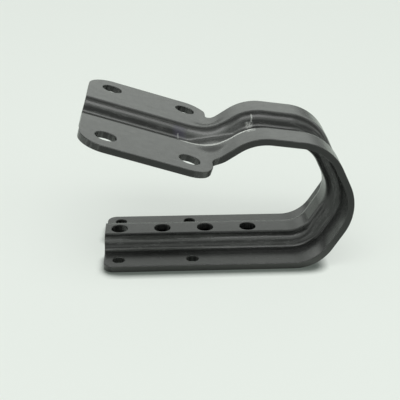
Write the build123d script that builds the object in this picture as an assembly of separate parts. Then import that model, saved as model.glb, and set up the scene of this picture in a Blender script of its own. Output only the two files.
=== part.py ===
"""Stamped steel bracket: one pressed strip bent into an open hook.

Frame: millimetres, +Z up.  The lower arm lies flat with its underside on
Z = 0.  The origin is the centre of the four flange holes of that arm.  The
strip runs along +X, turns up and back over itself and ends in the wide
mounting pad.  Y = 0 is the mid plane.
"""
import os
from math import acos, atan, cos, degrees, pi, radians, sin, tan

from build123d import *

# Sheet and pressed rib ---------------------------------------------------
sheet = 3.6                 # steel thickness
strip_width = 61.5          # width of the plain strip
rib_floor = 11.0            # flat width on top of the rib
rib_depth = 7.3             # height of the rib above the flanges
rib_bend = 3.0              # inside radius of every fold in the rib
shear_round = 0.4           # softened corner of the sheared outline

# Side profile, measured on the outer skin of the strip -------------------
# Each leg has a length between bend corners and a heading in degrees.
lower_arm = 115.7
lower_leg, lower_heading = 39.9, 58.3
upper_leg, upper_heading = 40.6, 115.5
crown_leg, crown_heading = 40.9, 172.4
neck_leg, neck_heading = 23.3, 212.7
pad_length, pad_heading = 70.1, 162.4
low_bend = 23.6             # outer radii of the bends, in order along the strip
side_bend = 28.7
top_bend = 27.5
crown_bend = 27.9
neck_bend = 12.0            # this one curves the other way

# Rib in the middle of the neck, where the press eases it -----------------
neck_lift = 1.2             # the lips of the groove stand this far above the flanges
neck_narrowing = 0.6        # each lip moves in by this much
neck_shallowing = 4.0       # the floor of the groove rises by this much
shoulder = 23.0             # the lifted lips level out this far from the mid plane
neck_sections = 24          # steps in which the rib eases and recovers
ease_share = 0.95           # of the straight neck that the easing reaches along

# Pad outline -------------------------------------------------------------
ear_overhang = 21.0         # the ears stand out this far past the strip
pad_tip_corner = 14.0
pad_ear_corner = 12.0
ear_setback = 1.5           # the ears stop this far before the neck corner
notch_corner = 4.5

# Free end of the lower arm -----------------------------------------------
arm_corner = 5.5

# Holes -------------------------------------------------------------------
rib_hole = 9.0
rib_hole_count = 4
rib_hole_pitch = 24.0
first_hole = 8.0            # from the free end, rib and flange holes alike
flange_hole = 6.4
flange_hole_pitch = 40.0
flange_hole_edge = 7.45     # from the edges of the strip
pad_hole = 11.0
pad_hole_first = 13.5       # from the tip of the pad
pad_hole_pitch = 43.0
pad_hole_edge = 13.75       # from the edges of the pad

# Sizes that follow from the ones above -----------------------------------
pad_width = strip_width + 2 * ear_overhang
clearance = 4 * sheet       # how far cutting bodies reach past the sheet
rib_top_half = rib_floor / 2
rib_fold = 2 * rib_bend + sheet
flange_hole_side = strip_width / 2 - flange_hole_edge
pad_hole_side = pad_width / 2 - pad_hole_edge
rib_foot_half = rib_top_half + rib_fold * sin(acos(1 - rib_depth / rib_fold))


def step(start, length, heading):
    """Point reached from start by walking a length along a heading in the side view."""
    return Vector(
        start.X + length * cos(radians(heading)),
        0,
        start.Z + length * sin(radians(heading)),
    )


def bend_reach(before, corner, after, radius):
    """Distance from a corner of the side profile to where its bend begins."""
    half_angle = radians((before - corner).get_angle(after - corner)) / 2
    return radius / tan(half_angle)


def bend_arc(before, corner, after, radius):
    """Arc of the given radius that rounds one corner of the side profile."""
    back = (before - corner).normalized()
    ahead = (after - corner).normalized()
    reach = bend_reach(before, corner, after, radius)
    middle = (back + ahead).normalized() * ((reach**2 + radius**2) ** 0.5 - radius)
    return ThreePointArc(corner + back * reach, corner + middle, corner + ahead * reach)


def rounded_path(corners, radii):
    """Wire through straight legs with every inner corner rounded."""
    edges = []
    reached = corners[0]
    for before, corner, after, radius in zip(corners, corners[1:], corners[2:], radii):
        arc = bend_arc(before, corner, after, radius)
        edges.append(Line(reached, arc @ 0))
        edges.append(arc)
        reached = arc @ 1
    edges.append(Line(reached, corners[-1]))
    return Wire(edges)


def rib_curves(depth, ease):
    """One skin of the rib alone, from foot to foot.

    depth is 0 for the grooved outer skin and the sheet thickness for the ridged
    inner skin.  Each wall is two tangent folds, and the folds of the two skins
    share their centres.  ease is 0 for the plain rib and 1 for its shape in
    the middle of the neck.
    """
    lip = -neck_lift * ease
    floor = rib_depth - neck_shallowing * ease
    foot = rib_foot_half - neck_narrowing * ease
    slope = 2 * atan((floor - lip) / (foot - rib_top_half))
    fold = (foot - rib_top_half) / sin(slope)
    foot_centre = lip + fold - rib_bend
    foot_radius = fold - rib_bend - depth
    top_centre = floor - rib_bend
    top_radius = rib_bend + depth
    rise = degrees(slope)
    left_foot = CenterArc((-foot, foot_centre), foot_radius, 270, rise)
    left_top = CenterArc((-rib_top_half, top_centre), top_radius, 90 + rise, -rise)
    right_top = CenterArc((rib_top_half, top_centre), top_radius, 90, -rise)
    right_foot = CenterArc((foot, foot_centre), foot_radius, 270 - rise, rise)
    return [left_foot, left_top, Line(left_top @ 1, right_top @ 0), right_top, right_foot]


def plain_skin(half_width, depth):
    """Skin with level flanges, from one edge of the strip to the other."""
    rib = rib_curves(depth, 0)
    left = Line((-half_width, depth), rib[0] @ 0)
    right = Line(rib[-1] @ 1, (half_width, depth))
    return [left, *rib, right]


def eased_skin(half_width, depth, ease):
    """Skin whose flanges rise over a smooth shoulder to the lifted lips of the rib."""
    rib = rib_curves(depth, ease)
    foot = (rib[-1] @ 1).X
    level = (rib[-1] @ 1).Y
    middle = (foot + shoulder) / 2
    return [
        Line((-half_width, depth), (-shoulder, depth)),
        Bezier((-shoulder, depth), (-middle, depth), (-middle, level), (-foot, level)),
        *rib,
        Bezier((foot, level), (middle, level), (middle, depth), (shoulder, depth)),
        Line((shoulder, depth), (half_width, depth)),
    ]


def sheet_section(outer, inner):
    """Closed cross-section of the sheet between its two skins."""
    left = Line(outer[0] @ 0, inner[0] @ 0)
    right = Line(outer[-1] @ 1, inner[-1] @ 1)
    return make_face(Wire([*outer, *inner, left, right]))


def plain_section(width):
    """Cross-section away from the neck."""
    return sheet_section(plain_skin(width / 2, 0), plain_skin(width / 2, sheet))


def eased_section(width, ease):
    """Cross-section within the neck."""
    return sheet_section(eased_skin(width / 2, 0, ease), eased_skin(width / 2, sheet, ease))


def across(point, travel):
    """Plane across the strip at a point, local Y towards the inner skin."""
    return Plane(origin=point, x_dir=(0, 1, 0), z_dir=travel)


# Corners of the side profile ---------------------------------------------
arm_tip = Vector(-first_hole - flange_hole_pitch / 2, 0, 0)
low_corner = step(arm_tip, lower_arm, 0)
side_corner = step(low_corner, lower_leg, lower_heading)
top_corner = step(side_corner, upper_leg, upper_heading)
crown_corner = step(top_corner, crown_leg, crown_heading)
neck_corner = step(crown_corner, neck_leg, neck_heading)
pad_tip = step(neck_corner, pad_length, pad_heading)

# The neck takes over from the hook just after the crown bend, and runs as far
# along the pad as it does along its own leg.
crown_reach = bend_reach(top_corner, crown_corner, neck_corner, crown_bend)
ease_reach = ease_share * (neck_leg - crown_reach)
neck_start = step(crown_corner, neck_leg - ease_reach, neck_heading)
neck_end = step(neck_corner, ease_reach, pad_heading)

# Hook: free end of the lower arm round to the neck -----------------------
hook_path = rounded_path(
    [arm_tip, low_corner, side_corner, top_corner, crown_corner, neck_start],
    [low_bend, side_bend, top_bend, crown_bend],
)
hook = sweep(across(arm_tip, (1, 0, 0)) * plain_section(strip_width), path=hook_path)

# Neck: the rib grows shallow and its lips rise, then it recovers ---------
neck_path = rounded_path([neck_start, neck_corner, neck_end], [neck_bend])
shares = [n / neck_sections for n in range(neck_sections + 1)]
neck_sheet = loft(
    [
        across(neck_path @ share, neck_path % share) * eased_section(pad_width, sin(pi * share) ** 2)
        for share in shares
    ]
)

# Pad: wide ribbed sheet, cut with the neck to the outline of the ears ----
pad_path = Line(neck_end, pad_tip)
pad_sheet = sweep(across(neck_end, pad_path % 0) * plain_section(pad_width), path=pad_path)

along_pad = (neck_corner - pad_tip).normalized()
pad_plane = Plane(origin=pad_tip, x_dir=along_pad, z_dir=along_pad.cross(Vector(0, 1, 0)))
ear_length = pad_length - ear_setback
trim_length = pad_length + neck_leg
outline = Pos(ear_length / 2, 0) * Rectangle(ear_length, pad_width)
tips = outline.vertices().sort_by(Axis.X)
outline = fillet(tips[:2], pad_tip_corner)
ears = outline.vertices().group_by(Axis.X)[-1]
outline = fillet(ears, pad_ear_corner)
outline += Pos(trim_length / 2, 0) * Rectangle(trim_length, strip_width)
notches = outline.vertices().sort_by_distance((ear_length, 0, 0))
outline = fillet(notches[:2], notch_corner)
trim = extrude(pad_plane * outline, clearance, both=True)
pad = (pad_sheet + neck_sheet) & trim
bracket = hook + pad

# Rounded corners at the free end of the lower arm ------------------------
free_end = bracket.edges().filter_by(Axis.Z).group_by(Axis.X)[0]
bracket = fillet(free_end, arm_corner)


def punches(plane, points, diameter):
    """Round punches square to a plane, long enough to pass through the ribbed sheet."""
    return [plane * Pos(*point) * Cylinder(diameter / 2, 2 * clearance) for point in points]


# Holes through the lower arm ---------------------------------------------
arm_plane = Plane(origin=arm_tip, x_dir=(1, 0, 0), z_dir=(0, 0, 1))
rib_holes = [(first_hole + n * rib_hole_pitch, 0) for n in range(rib_hole_count)]
flange_holes = [
    (first_hole + n * flange_hole_pitch, side * flange_hole_side)
    for n in (0, 1)
    for side in (-1, 1)
]
bracket -= punches(arm_plane, rib_holes, rib_hole)
bracket -= punches(arm_plane, flange_holes, flange_hole)

# Holes through the ears of the pad ---------------------------------------
pad_holes = [
    (pad_hole_first + n * pad_hole_pitch, side * pad_hole_side)
    for n in (0, 1)
    for side in (-1, 1)
]
bracket -= punches(pad_plane, pad_holes, pad_hole)
bracket = bracket.clean()


def is_sheared(face):
    """True for a face cut through the sheet: a straight edge of it spans the thickness."""
    return any(
        edge.geom_type == GeomType.LINE and abs(edge.length - sheet) < shear_round / 10
        for edge in face.edges()
    )


# Soften the rims of the sheared outline and of the punched holes ---------
sheared = bracket.faces().filter_by(is_sheared)
skins = bracket.faces().filter_by(lambda face: not is_sheared(face))
rims = [edge for edge in sheared.edges() if any(edge.is_same(other) for other in skins.edges())]
bracket = bracket.fillet(shear_round, rims)

os.makedirs("parts", exist_ok=True)
export_step(bracket, "parts/bracket.step")
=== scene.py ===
"""Looks of the pressed steel bracket: satin black paint with handling marks.

Metres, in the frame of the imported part: +X along the lower arm, +Z up, the
mid plane at Y = 0.  The part itself is the CAD node; this script adds the
paint, the floor, the studio light and the camera.
"""
from math import cos, pi, radians, sin

import bpy
from mathutils import Matrix, Vector

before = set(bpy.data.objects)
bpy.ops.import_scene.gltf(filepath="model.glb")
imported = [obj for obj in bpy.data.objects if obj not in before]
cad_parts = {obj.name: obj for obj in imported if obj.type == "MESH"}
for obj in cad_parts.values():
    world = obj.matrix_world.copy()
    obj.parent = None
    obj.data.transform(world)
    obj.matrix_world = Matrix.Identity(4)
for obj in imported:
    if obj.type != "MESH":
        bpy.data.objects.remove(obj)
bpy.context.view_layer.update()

MM = 0.001
SCENE = bpy.context.scene
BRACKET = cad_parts["bracket"]

# Camera: what it looks at, from where, and its lens --------------------------
TARGET = Vector((25.14, 0.0, 27.63)) * MM
DISTANCE = 484.6 * MM
HEADING = 2.88          # degrees, turned from +Y towards +X
LOOK_DOWN = 24.79       # degrees below the horizon
ROLL = 0.13             # degrees, with the camera's right side up
FOCAL_PIXELS = 871.9    # on a frame FRAME_PIXELS wide
FRAME_PIXELS = 400
SENSOR = 36.0           # millimetres, as the lens is
CLIP_START = 0.01

# Pale floor, and the line of shade where the part meets it -------------------
FLOOR_COLOUR = (0.80, 0.845, 0.80, 1)
FLOOR_HALF = 4.0
FLOOR_GAP = 0.05 * MM
FLOOR_ROUGHNESS = 0.9
CONTACT_COLOUR = (0.12, 0.14, 0.125, 1)
CONTACT_REACH = 9 * MM
CONTACT_SAMPLES = 16
CONTACT_RANGE = (0.57, 0.87)        # openness, from full shade to none
CONTACT_FACING = (0.0, 0.85, 0.53)
SHADE_SOFTENING = 0.7               # share of the floor that the camera sees unshaded

# Studio round the part -------------------------------------------------------
ROOM_TINT = (0.950, 1.0, 0.945)
# Degrees from the back horizon over the top to the front one, and radiance.
BANDS = (
    (0, 0.30),
    (8, 0.35),
    (12, 0.92),
    (16, 1.41),
    (25, 1.45),
    (31, 0.70),
    (50, 0.55),
    (64, 0.24),
    (82, 0.20),
    (100, 0.50),
    (120, 1.70),
    (138, 1.60),
    (148, 0.45),
    (163, 0.40),
    (171, 1.50),
    (180, 1.50),
)
LAMP_PLACE = (0.02, -0.30, 1.05)
LAMP_AIM = (0.02, 0, 0.03)
LAMP_SIZE = (0.9, 0.45)
LAMP_WATTS = 3.9

# Colours of the surface ------------------------------------------------------
PAINT_DARK = (0.011, 0.011, 0.011, 1)
PAINT_LIGHT = (0.020, 0.0205, 0.020, 1)
# Painted shade: darker sheared edges up on the pad and the hook.
PAINTED_EDGE_SHADE = (0.004, 0.004, 0.004, 1)
DRAWN_LINE = (0.055, 0.056, 0.055, 1)
DUST = (0.060, 0.062, 0.059, 1)
# Painted light: paler sheared edges low along the arm, near the floor.
PAINTED_EDGE_LIGHT = (0.036, 0.037, 0.035, 1)
# Painted highlight on the folds of the rib.
PAINTED_FOLD_HIGHLIGHT = (0.052, 0.053, 0.051, 1)
NECK_GREY = (0.085, 0.087, 0.085, 1)
# Painted light: a pale patch on the front flange at the neck, softening the shade there.
PAINTED_LIGHT_GREY = (0.06, 0.061, 0.06, 1)
VIOLET = (0.045, 0.038, 0.072, 1)
BARE = (0.66, 0.67, 0.65, 1)
PAINT_IOR = 1.5

# Noise: cycles per metre, detail and roughness -------------------------------
PATCHES = (90, 4, 0.6)
STREAKS = (1500, 3, 0.6)
STREAK_STRETCH = (0.08, 1, 0.08)
GRAIN = (1700, 2, 0.6)
RAGGED = (900, 4, 0.7)
WAVER = (420, 3, 0.6)
SPECKS = (1300, 3, 0.7)
GLOSS = (260, 5, 0.6)
PEEL = (1400, 3, 0.5)

# Tilt of the surface across the strip: 0 on the flats and 1 on its edges -----
FLAT_TO_WALL = (0.2, 0.5)
FOLD_STARTS = (0.36, 0.48)
FOLD_ENDS = (0.74, 0.84)
EDGE_STARTS = (0.975, 0.99)

# Marks at the neck: low, high and soft border along X, Y and Z, in mm --------
NECK_GROOVE = ((17, 47, 6), (-11, 9, 3), (56, 68, 3))
# Painted light: the pale patch on the front flange at the neck.
PAINTED_LIGHT_PATCH = ((27, 35, 4), (-21, -17, 2.5), (60, 72, 2))
VIOLET_TOUCH = ((12.4, 16.0, 2.5), (8.0, 10.0, 1.5), (61, 68, 2))
LIP_SCRATCH = ((16.5, 50, 3.5), (-14.8, -12.3, 0.4), (60, 78, 1))
TICK = ((14.0, 14.2, 0.45), (7.0, 8.8, 0.5), (61.5, 63.8, 0.6))
CROSSING = ((54.2, 54.4, 0.5), (7.5, 11.0, 0.8), (66, 73, 1))
CRUMBS = ((51.6, 54.2, 1.2), (7.0, 8.6, 0.6), (66.5, 69.5, 1.2))
SCUFF = ((49.0, 52.6, 1.0), (-16.5, -12.5, 0.8), (68, 78, 1))
WAVER_REACH = 1.6 * MM


def place_camera():
    """Camera that looks at its target along the heading, down and slightly rolled."""
    forward = Vector(
        (
            sin(radians(HEADING)) * cos(radians(LOOK_DOWN)),
            cos(radians(HEADING)) * cos(radians(LOOK_DOWN)),
            -sin(radians(LOOK_DOWN)),
        )
    )
    right = forward.cross(Vector((0, 0, 1))).normalized()
    up = right.cross(forward)
    rolled_right = right * cos(radians(ROLL)) + up * sin(radians(ROLL))
    rolled_up = rolled_right.cross(forward)
    turn = Matrix((rolled_right, rolled_up, -forward)).transposed().to_4x4()
    data = bpy.data.cameras.new("camera")
    data.sensor_width = SENSOR
    data.lens = FOCAL_PIXELS / FRAME_PIXELS * SENSOR
    data.clip_start = CLIP_START
    camera = bpy.data.objects.new("camera", data)
    camera.matrix_world = Matrix.Translation(TARGET - forward * DISTANCE) @ turn
    SCENE.collection.objects.link(camera)
    SCENE.camera = camera


# Node helpers ----------------------------------------------------------------


def new_material(name):
    """Node material with its tree, its output and a principled shader linked to it."""
    material = bpy.data.materials.new(name)
    material.use_nodes = True
    tree = material.node_tree
    tree.nodes.clear()
    output = tree.nodes.new("ShaderNodeOutputMaterial")
    shader = tree.nodes.new("ShaderNodeBsdfPrincipled")
    tree.links.new(shader.outputs["BSDF"], output.inputs["Surface"])
    return material, tree, output, shader


def feed(tree, socket, value):
    """Links an output into an input socket, or sets a plain value on it."""
    if isinstance(value, bpy.types.NodeSocket):
        tree.links.new(value, socket)
    else:
        socket.default_value = value


def split(tree, vector):
    """The three components of a vector."""
    node = tree.nodes.new("ShaderNodeSeparateXYZ")
    feed(tree, node.inputs["Vector"], vector)
    return [node.outputs[axis] for axis in "XYZ"]


def noise(tree, vector, scale, detail, roughness):
    """Noise texture over a vector in metres; scale is in cycles per metre."""
    node = tree.nodes.new("ShaderNodeTexNoise")
    node.inputs["Scale"].default_value = scale
    node.inputs["Detail"].default_value = detail
    node.inputs["Roughness"].default_value = roughness
    feed(tree, node.inputs["Vector"], vector)
    return node.outputs["Fac"]


def remap(tree, value, low, high, to_low, to_high):
    """Clamped linear map of a value from one range to another."""
    node = tree.nodes.new("ShaderNodeMapRange")
    node.clamp = True
    node.inputs["From Min"].default_value = low
    node.inputs["From Max"].default_value = high
    node.inputs["To Min"].default_value = to_low
    node.inputs["To Max"].default_value = to_high
    feed(tree, node.inputs["Value"], value)
    return node.outputs["Result"]


def stretched(tree, vector, stretch):
    """Vector scaled by a factor per axis."""
    node = tree.nodes.new("ShaderNodeVectorMath")
    node.operation = "MULTIPLY"
    feed(tree, node.inputs[0], vector)
    feed(tree, node.inputs[1], stretch)
    return node.outputs["Vector"]


def combine(tree, operation, first, second):
    """Math node of two values, each a socket or a number."""
    node = tree.nodes.new("ShaderNodeMath")
    node.operation = operation
    feed(tree, node.inputs[0], first)
    feed(tree, node.inputs[1], second)
    return node.outputs["Value"]


def product(tree, first, *others):
    """Product of values, each a socket or a number."""
    for other in others:
        first = combine(tree, "MULTIPLY", first, other)
    return first


def largest(tree, first, *others):
    """Largest of several values."""
    for other in others:
        first = combine(tree, "MAXIMUM", first, other)
    return first


def band(tree, value, low, high, soft):
    """1 between two limits, fading to 0 over the soft border outside them; millimetres."""
    rise = remap(tree, value, (low - soft) * MM, low * MM, 0, 1)
    fall = remap(tree, value, high * MM, (high + soft) * MM, 1, 0)
    return product(tree, rise, fall)


def region(tree, axes, limits):
    """Mask of a soft box, from its band along each axis."""
    return product(tree, *(band(tree, value, *limit) for value, limit in zip(axes, limits)))


def tinted(tree, base, mask, colour):
    """Base colour covered by another one where the mask is 1."""
    node = tree.nodes.new("ShaderNodeMix")
    node.data_type = "RGBA"
    feed(tree, node.inputs["Factor"], mask)
    feed(tree, node.inputs["A"], base)
    feed(tree, node.inputs["B"], colour)
    return node.outputs["Result"]


def camera_mix(tree, share, lit, seen):
    """Shader that the camera alone sees partly, or fully, replaced by another one."""
    path = tree.nodes.new("ShaderNodeLightPath")
    node = tree.nodes.new("ShaderNodeMixShader")
    feed(tree, node.inputs["Fac"], product(tree, path.outputs["Is Camera Ray"], share))
    feed(tree, node.inputs[1], lit)
    feed(tree, node.inputs[2], seen)
    return node.outputs["Shader"]


# Paint of the bracket --------------------------------------------------------


def drawn_lines(tree, streaks, tilt):
    """Mask of the lines that the press drew along the strip, with none on its edges."""
    lines = remap(tree, streaks, 0.50, 0.68, 0, 0.7)
    on_walls = remap(tree, tilt, *FLAT_TO_WALL, 0.3, 1)
    off_edges = remap(tree, tilt, *EDGE_STARTS, 1, 0)
    return product(tree, lines, on_walls, off_edges)


def bare_marks(tree, place, axes):
    """Mask of the scratch along the front lip, and of the marks at its start and its end."""
    ragged = remap(tree, noise(tree, place, *RAGGED), 0.32, 0.48, 0.35, 1.0)
    brighter = remap(tree, axes[0], 34 * MM, 42 * MM, 0.7, 1.0)
    lip = product(tree, region(tree, axes, LIP_SCRATCH), ragged, brighter)

    waver = product(tree, noise(tree, place, *WAVER), WAVER_REACH)
    wavering = [combine(tree, "ADD", axes[0], waver), *axes[1:]]
    specks = remap(tree, noise(tree, place, *SPECKS), 0.42, 0.58, 0.15, 0.9)
    tick = product(tree, region(tree, wavering, TICK), 0.3)
    crossing = product(tree, region(tree, wavering, CROSSING), product(tree, specks, 0.7))
    crumbs = product(tree, region(tree, wavering, CRUMBS), product(tree, specks, 0.45))
    scuff = product(tree, region(tree, axes, SCUFF), product(tree, specks, 0.5))
    return largest(tree, lip, tick, crossing, crumbs, scuff)


def plain_tone(tree, place, lines, grain):
    """Patchy black with drawn lines and a little pale dust."""
    tone = tinted(tree, PAINT_DARK, noise(tree, place, *PATCHES), PAINT_LIGHT)
    tone = tinted(tree, tone, lines, DRAWN_LINE)
    return tinted(tree, tone, remap(tree, grain, 0.58, 0.74, 0, 0.5), DUST)


def edge_tone(tree, tone, tilt, height):
    """Sheared edges: painted light makes them paler low along the arm, painted shade darker up on
    the pad and the hook.
    """
    sheared = remap(tree, tilt, *EDGE_STARTS, 0, 1)
    raised = remap(tree, height, 10 * MM, 40 * MM, 0, 1)
    low = remap(tree, height, 4 * MM, 16 * MM, 1, 0)
    # Painted shade on the raised sheared edges.
    tone = tinted(tree, tone, product(tree, sheared, raised), PAINTED_EDGE_SHADE)
    # Painted light on the low sheared edges.
    return tinted(tree, tone, product(tree, sheared, low), PAINTED_EDGE_LIGHT)


def painted_fold_highlight(tree, tone, tilt, along, streaks):
    """Folds of the rib: a painted highlight, paler most towards both free ends."""
    starts = remap(tree, tilt, *FOLD_STARTS, 0, 1)
    ends = remap(tree, tilt, *FOLD_ENDS, 1, 0)
    towards_free_ends = remap(tree, along, 20 * MM, 60 * MM, 1, 0.15)
    broken = remap(tree, streaks, 0.35, 0.65, 0.55, 1)
    return tinted(tree, tone, product(tree, starts, ends, towards_free_ends, broken), PAINTED_FOLD_HIGHLIGHT)


def neck_tone(tree, tone, axes, grain):
    """Neck: the groove paler grey and speckled, a pale patch of painted light on the front flange
    that softens its shade, and a touch of violet.
    """
    speckled = remap(tree, grain, 0.3, 0.7, 0.45, 1.0)
    tone = tinted(tree, tone, product(tree, region(tree, axes, NECK_GROOVE), speckled), NECK_GREY)
    # Painted light on the front flange at the neck.
    tone = tinted(tree, tone, product(tree, region(tree, axes, PAINTED_LIGHT_PATCH), 0.8), PAINTED_LIGHT_GREY)
    speckled = remap(tree, grain, 0.3, 0.7, 0.2, 0.8)
    return tinted(tree, tone, product(tree, region(tree, axes, VIOLET_TOUCH), speckled), VIOLET)


def paint_roughness(tree, place, lines, marks):
    """Satin gloss that varies in patches and is duller on lines and marks."""
    gloss = remap(tree, noise(tree, place, *GLOSS), 0.3, 0.7, 0.20, 0.26)
    gloss = combine(tree, "ADD", gloss, product(tree, lines, 0.12))
    return combine(tree, "ADD", gloss, product(tree, marks, 0.25))


def paint_relief(tree, place, streaks):
    """Normal of the paint, with its orange peel and the drawn lines under it."""
    peel = product(tree, noise(tree, place, *PEEL), 0.35)
    bump = tree.nodes.new("ShaderNodeBump")
    bump.inputs["Strength"].default_value = 0.5
    bump.inputs["Distance"].default_value = 0.02 * MM
    feed(tree, bump.inputs["Height"], combine(tree, "ADD", peel, streaks))
    return bump.outputs["Normal"]


def black_paint():
    """Thin satin black paint over drawn steel, with scratched places, a paler grey groove and a
    patch of painted light at the neck; painted highlights on the folds and painted light and shade
    on the sheared edges.
    """
    material, tree, _, shader = new_material("black_paint")
    coordinates = tree.nodes.new("ShaderNodeTexCoord")
    place = coordinates.outputs["Object"]
    axes = split(tree, place)
    tilt = combine(tree, "ABSOLUTE", split(tree, coordinates.outputs["Normal"])[1], 0)
    streaks = noise(tree, stretched(tree, place, STREAK_STRETCH), *STREAKS)
    grain = noise(tree, place, *GRAIN)
    lines = drawn_lines(tree, streaks, tilt)
    marks = bare_marks(tree, place, axes)

    tone = plain_tone(tree, place, lines, grain)
    tone = edge_tone(tree, tone, tilt, axes[2])
    tone = painted_fold_highlight(tree, tone, tilt, axes[0], streaks)
    tone = neck_tone(tree, tone, axes, grain)
    tone = tinted(tree, tone, marks, BARE)
    feed(tree, shader.inputs["Base Color"], tone)
    feed(tree, shader.inputs["Roughness"], paint_roughness(tree, place, lines, marks))
    feed(tree, shader.inputs["Normal"], paint_relief(tree, place, streaks))
    shader.inputs["IOR"].default_value = PAINT_IOR
    return material


def paint(node, material):
    """Puts the material on every slot of a CAD node."""
    for slot in node.material_slots:
        slot.material = material
    if not node.material_slots:
        node.data.materials.append(material)


# Floor and light -------------------------------------------------------------


def floor_paper():
    """Pale paper; the camera sees its shade softened and its contact line deepened."""
    material, tree, output, shader = new_material("paper")
    facing = tree.nodes.new("ShaderNodeCombineXYZ")
    for socket, number in zip(facing.inputs, CONTACT_FACING):
        socket.default_value = number
    near = tree.nodes.new("ShaderNodeAmbientOcclusion")
    near.samples = CONTACT_SAMPLES
    near.inputs["Distance"].default_value = CONTACT_REACH
    feed(tree, near.inputs["Normal"], facing.outputs["Vector"])
    openness = remap(tree, near.outputs["AO"], *CONTACT_RANGE, 0, 1)
    colour = tinted(tree, CONTACT_COLOUR, openness, FLOOR_COLOUR)
    feed(tree, shader.inputs["Base Color"], colour)
    shader.inputs["Roughness"].default_value = FLOOR_ROUGHNESS
    unshaded = tree.nodes.new("ShaderNodeEmission")
    feed(tree, unshaded.inputs["Color"], colour)
    shown = camera_mix(tree, SHADE_SOFTENING, shader.outputs["BSDF"], unshaded.outputs["Emission"])
    feed(tree, output.inputs["Surface"], shown)
    return material


def floor():
    """Plain level floor just under the part."""
    mesh = bpy.data.meshes.new("floor")
    corners = [
        (-FLOOR_HALF, -FLOOR_HALF, 0),
        (FLOOR_HALF, -FLOOR_HALF, 0),
        (FLOOR_HALF, FLOOR_HALF, 0),
        (-FLOOR_HALF, FLOOR_HALF, 0),
    ]
    mesh.from_pydata(corners, [], [(0, 1, 2, 3)])
    mesh.materials.append(floor_paper())
    ground = bpy.data.objects.new("floor", mesh)
    ground.location.z = -FLOOR_GAP
    SCENE.collection.objects.link(ground)


def background(tree, colour):
    """Background shader of one colour, a socket or a plain one."""
    node = tree.nodes.new("ShaderNodeBackground")
    feed(tree, node.inputs["Color"], colour)
    return node.outputs["Background"]


def studio_bands(tree):
    """Colour of the studio: bands along X, from the back horizon over the top to the front."""
    node = tree.nodes.new("ShaderNodeValToRGB")
    stops = node.color_ramp.elements
    stops.remove(stops[-1])
    for degrees, level in BANDS:
        stop = stops.new(degrees / 180)
        stop.color = (*(level * part for part in ROOM_TINT), 1)
    stops.remove(stops[0])
    direction = tree.nodes.new("ShaderNodeTexCoord").outputs["Generated"]
    _, back, up = split(tree, direction)
    angle = combine(tree, "ARCTAN2", up, back)
    feed(tree, node.inputs["Fac"], remap(tree, angle, 0, pi, 0, 1))
    return node.outputs["Color"]


def world_light():
    """Banded studio light; the camera itself sees the floor's colour all round."""
    world = bpy.data.worlds.new("room")
    SCENE.world = world
    world.use_nodes = True
    tree = world.node_tree
    tree.nodes.clear()
    output = tree.nodes.new("ShaderNodeOutputWorld")
    lit = background(tree, studio_bands(tree))
    seen = background(tree, FLOOR_COLOUR)
    feed(tree, output.inputs["Surface"], camera_mix(tree, 1, lit, seen))


def overhead_lamp():
    """Soft rectangular lamp above the front of the part."""
    data = bpy.data.lights.new("overhead", "AREA")
    data.shape = "RECTANGLE"
    data.size, data.size_y = LAMP_SIZE
    data.energy = LAMP_WATTS
    lamp = bpy.data.objects.new("overhead", data)
    lamp.location = LAMP_PLACE
    towards = Vector(LAMP_AIM) - Vector(LAMP_PLACE)
    lamp.rotation_euler = towards.to_track_quat("-Z", "Y").to_euler()
    lamp.visible_camera = False
    SCENE.collection.objects.link(lamp)


place_camera()
paint(BRACKET, black_paint())
floor()
world_light()
overhead_lamp()

SCENE.view_settings.view_transform = "Standard"
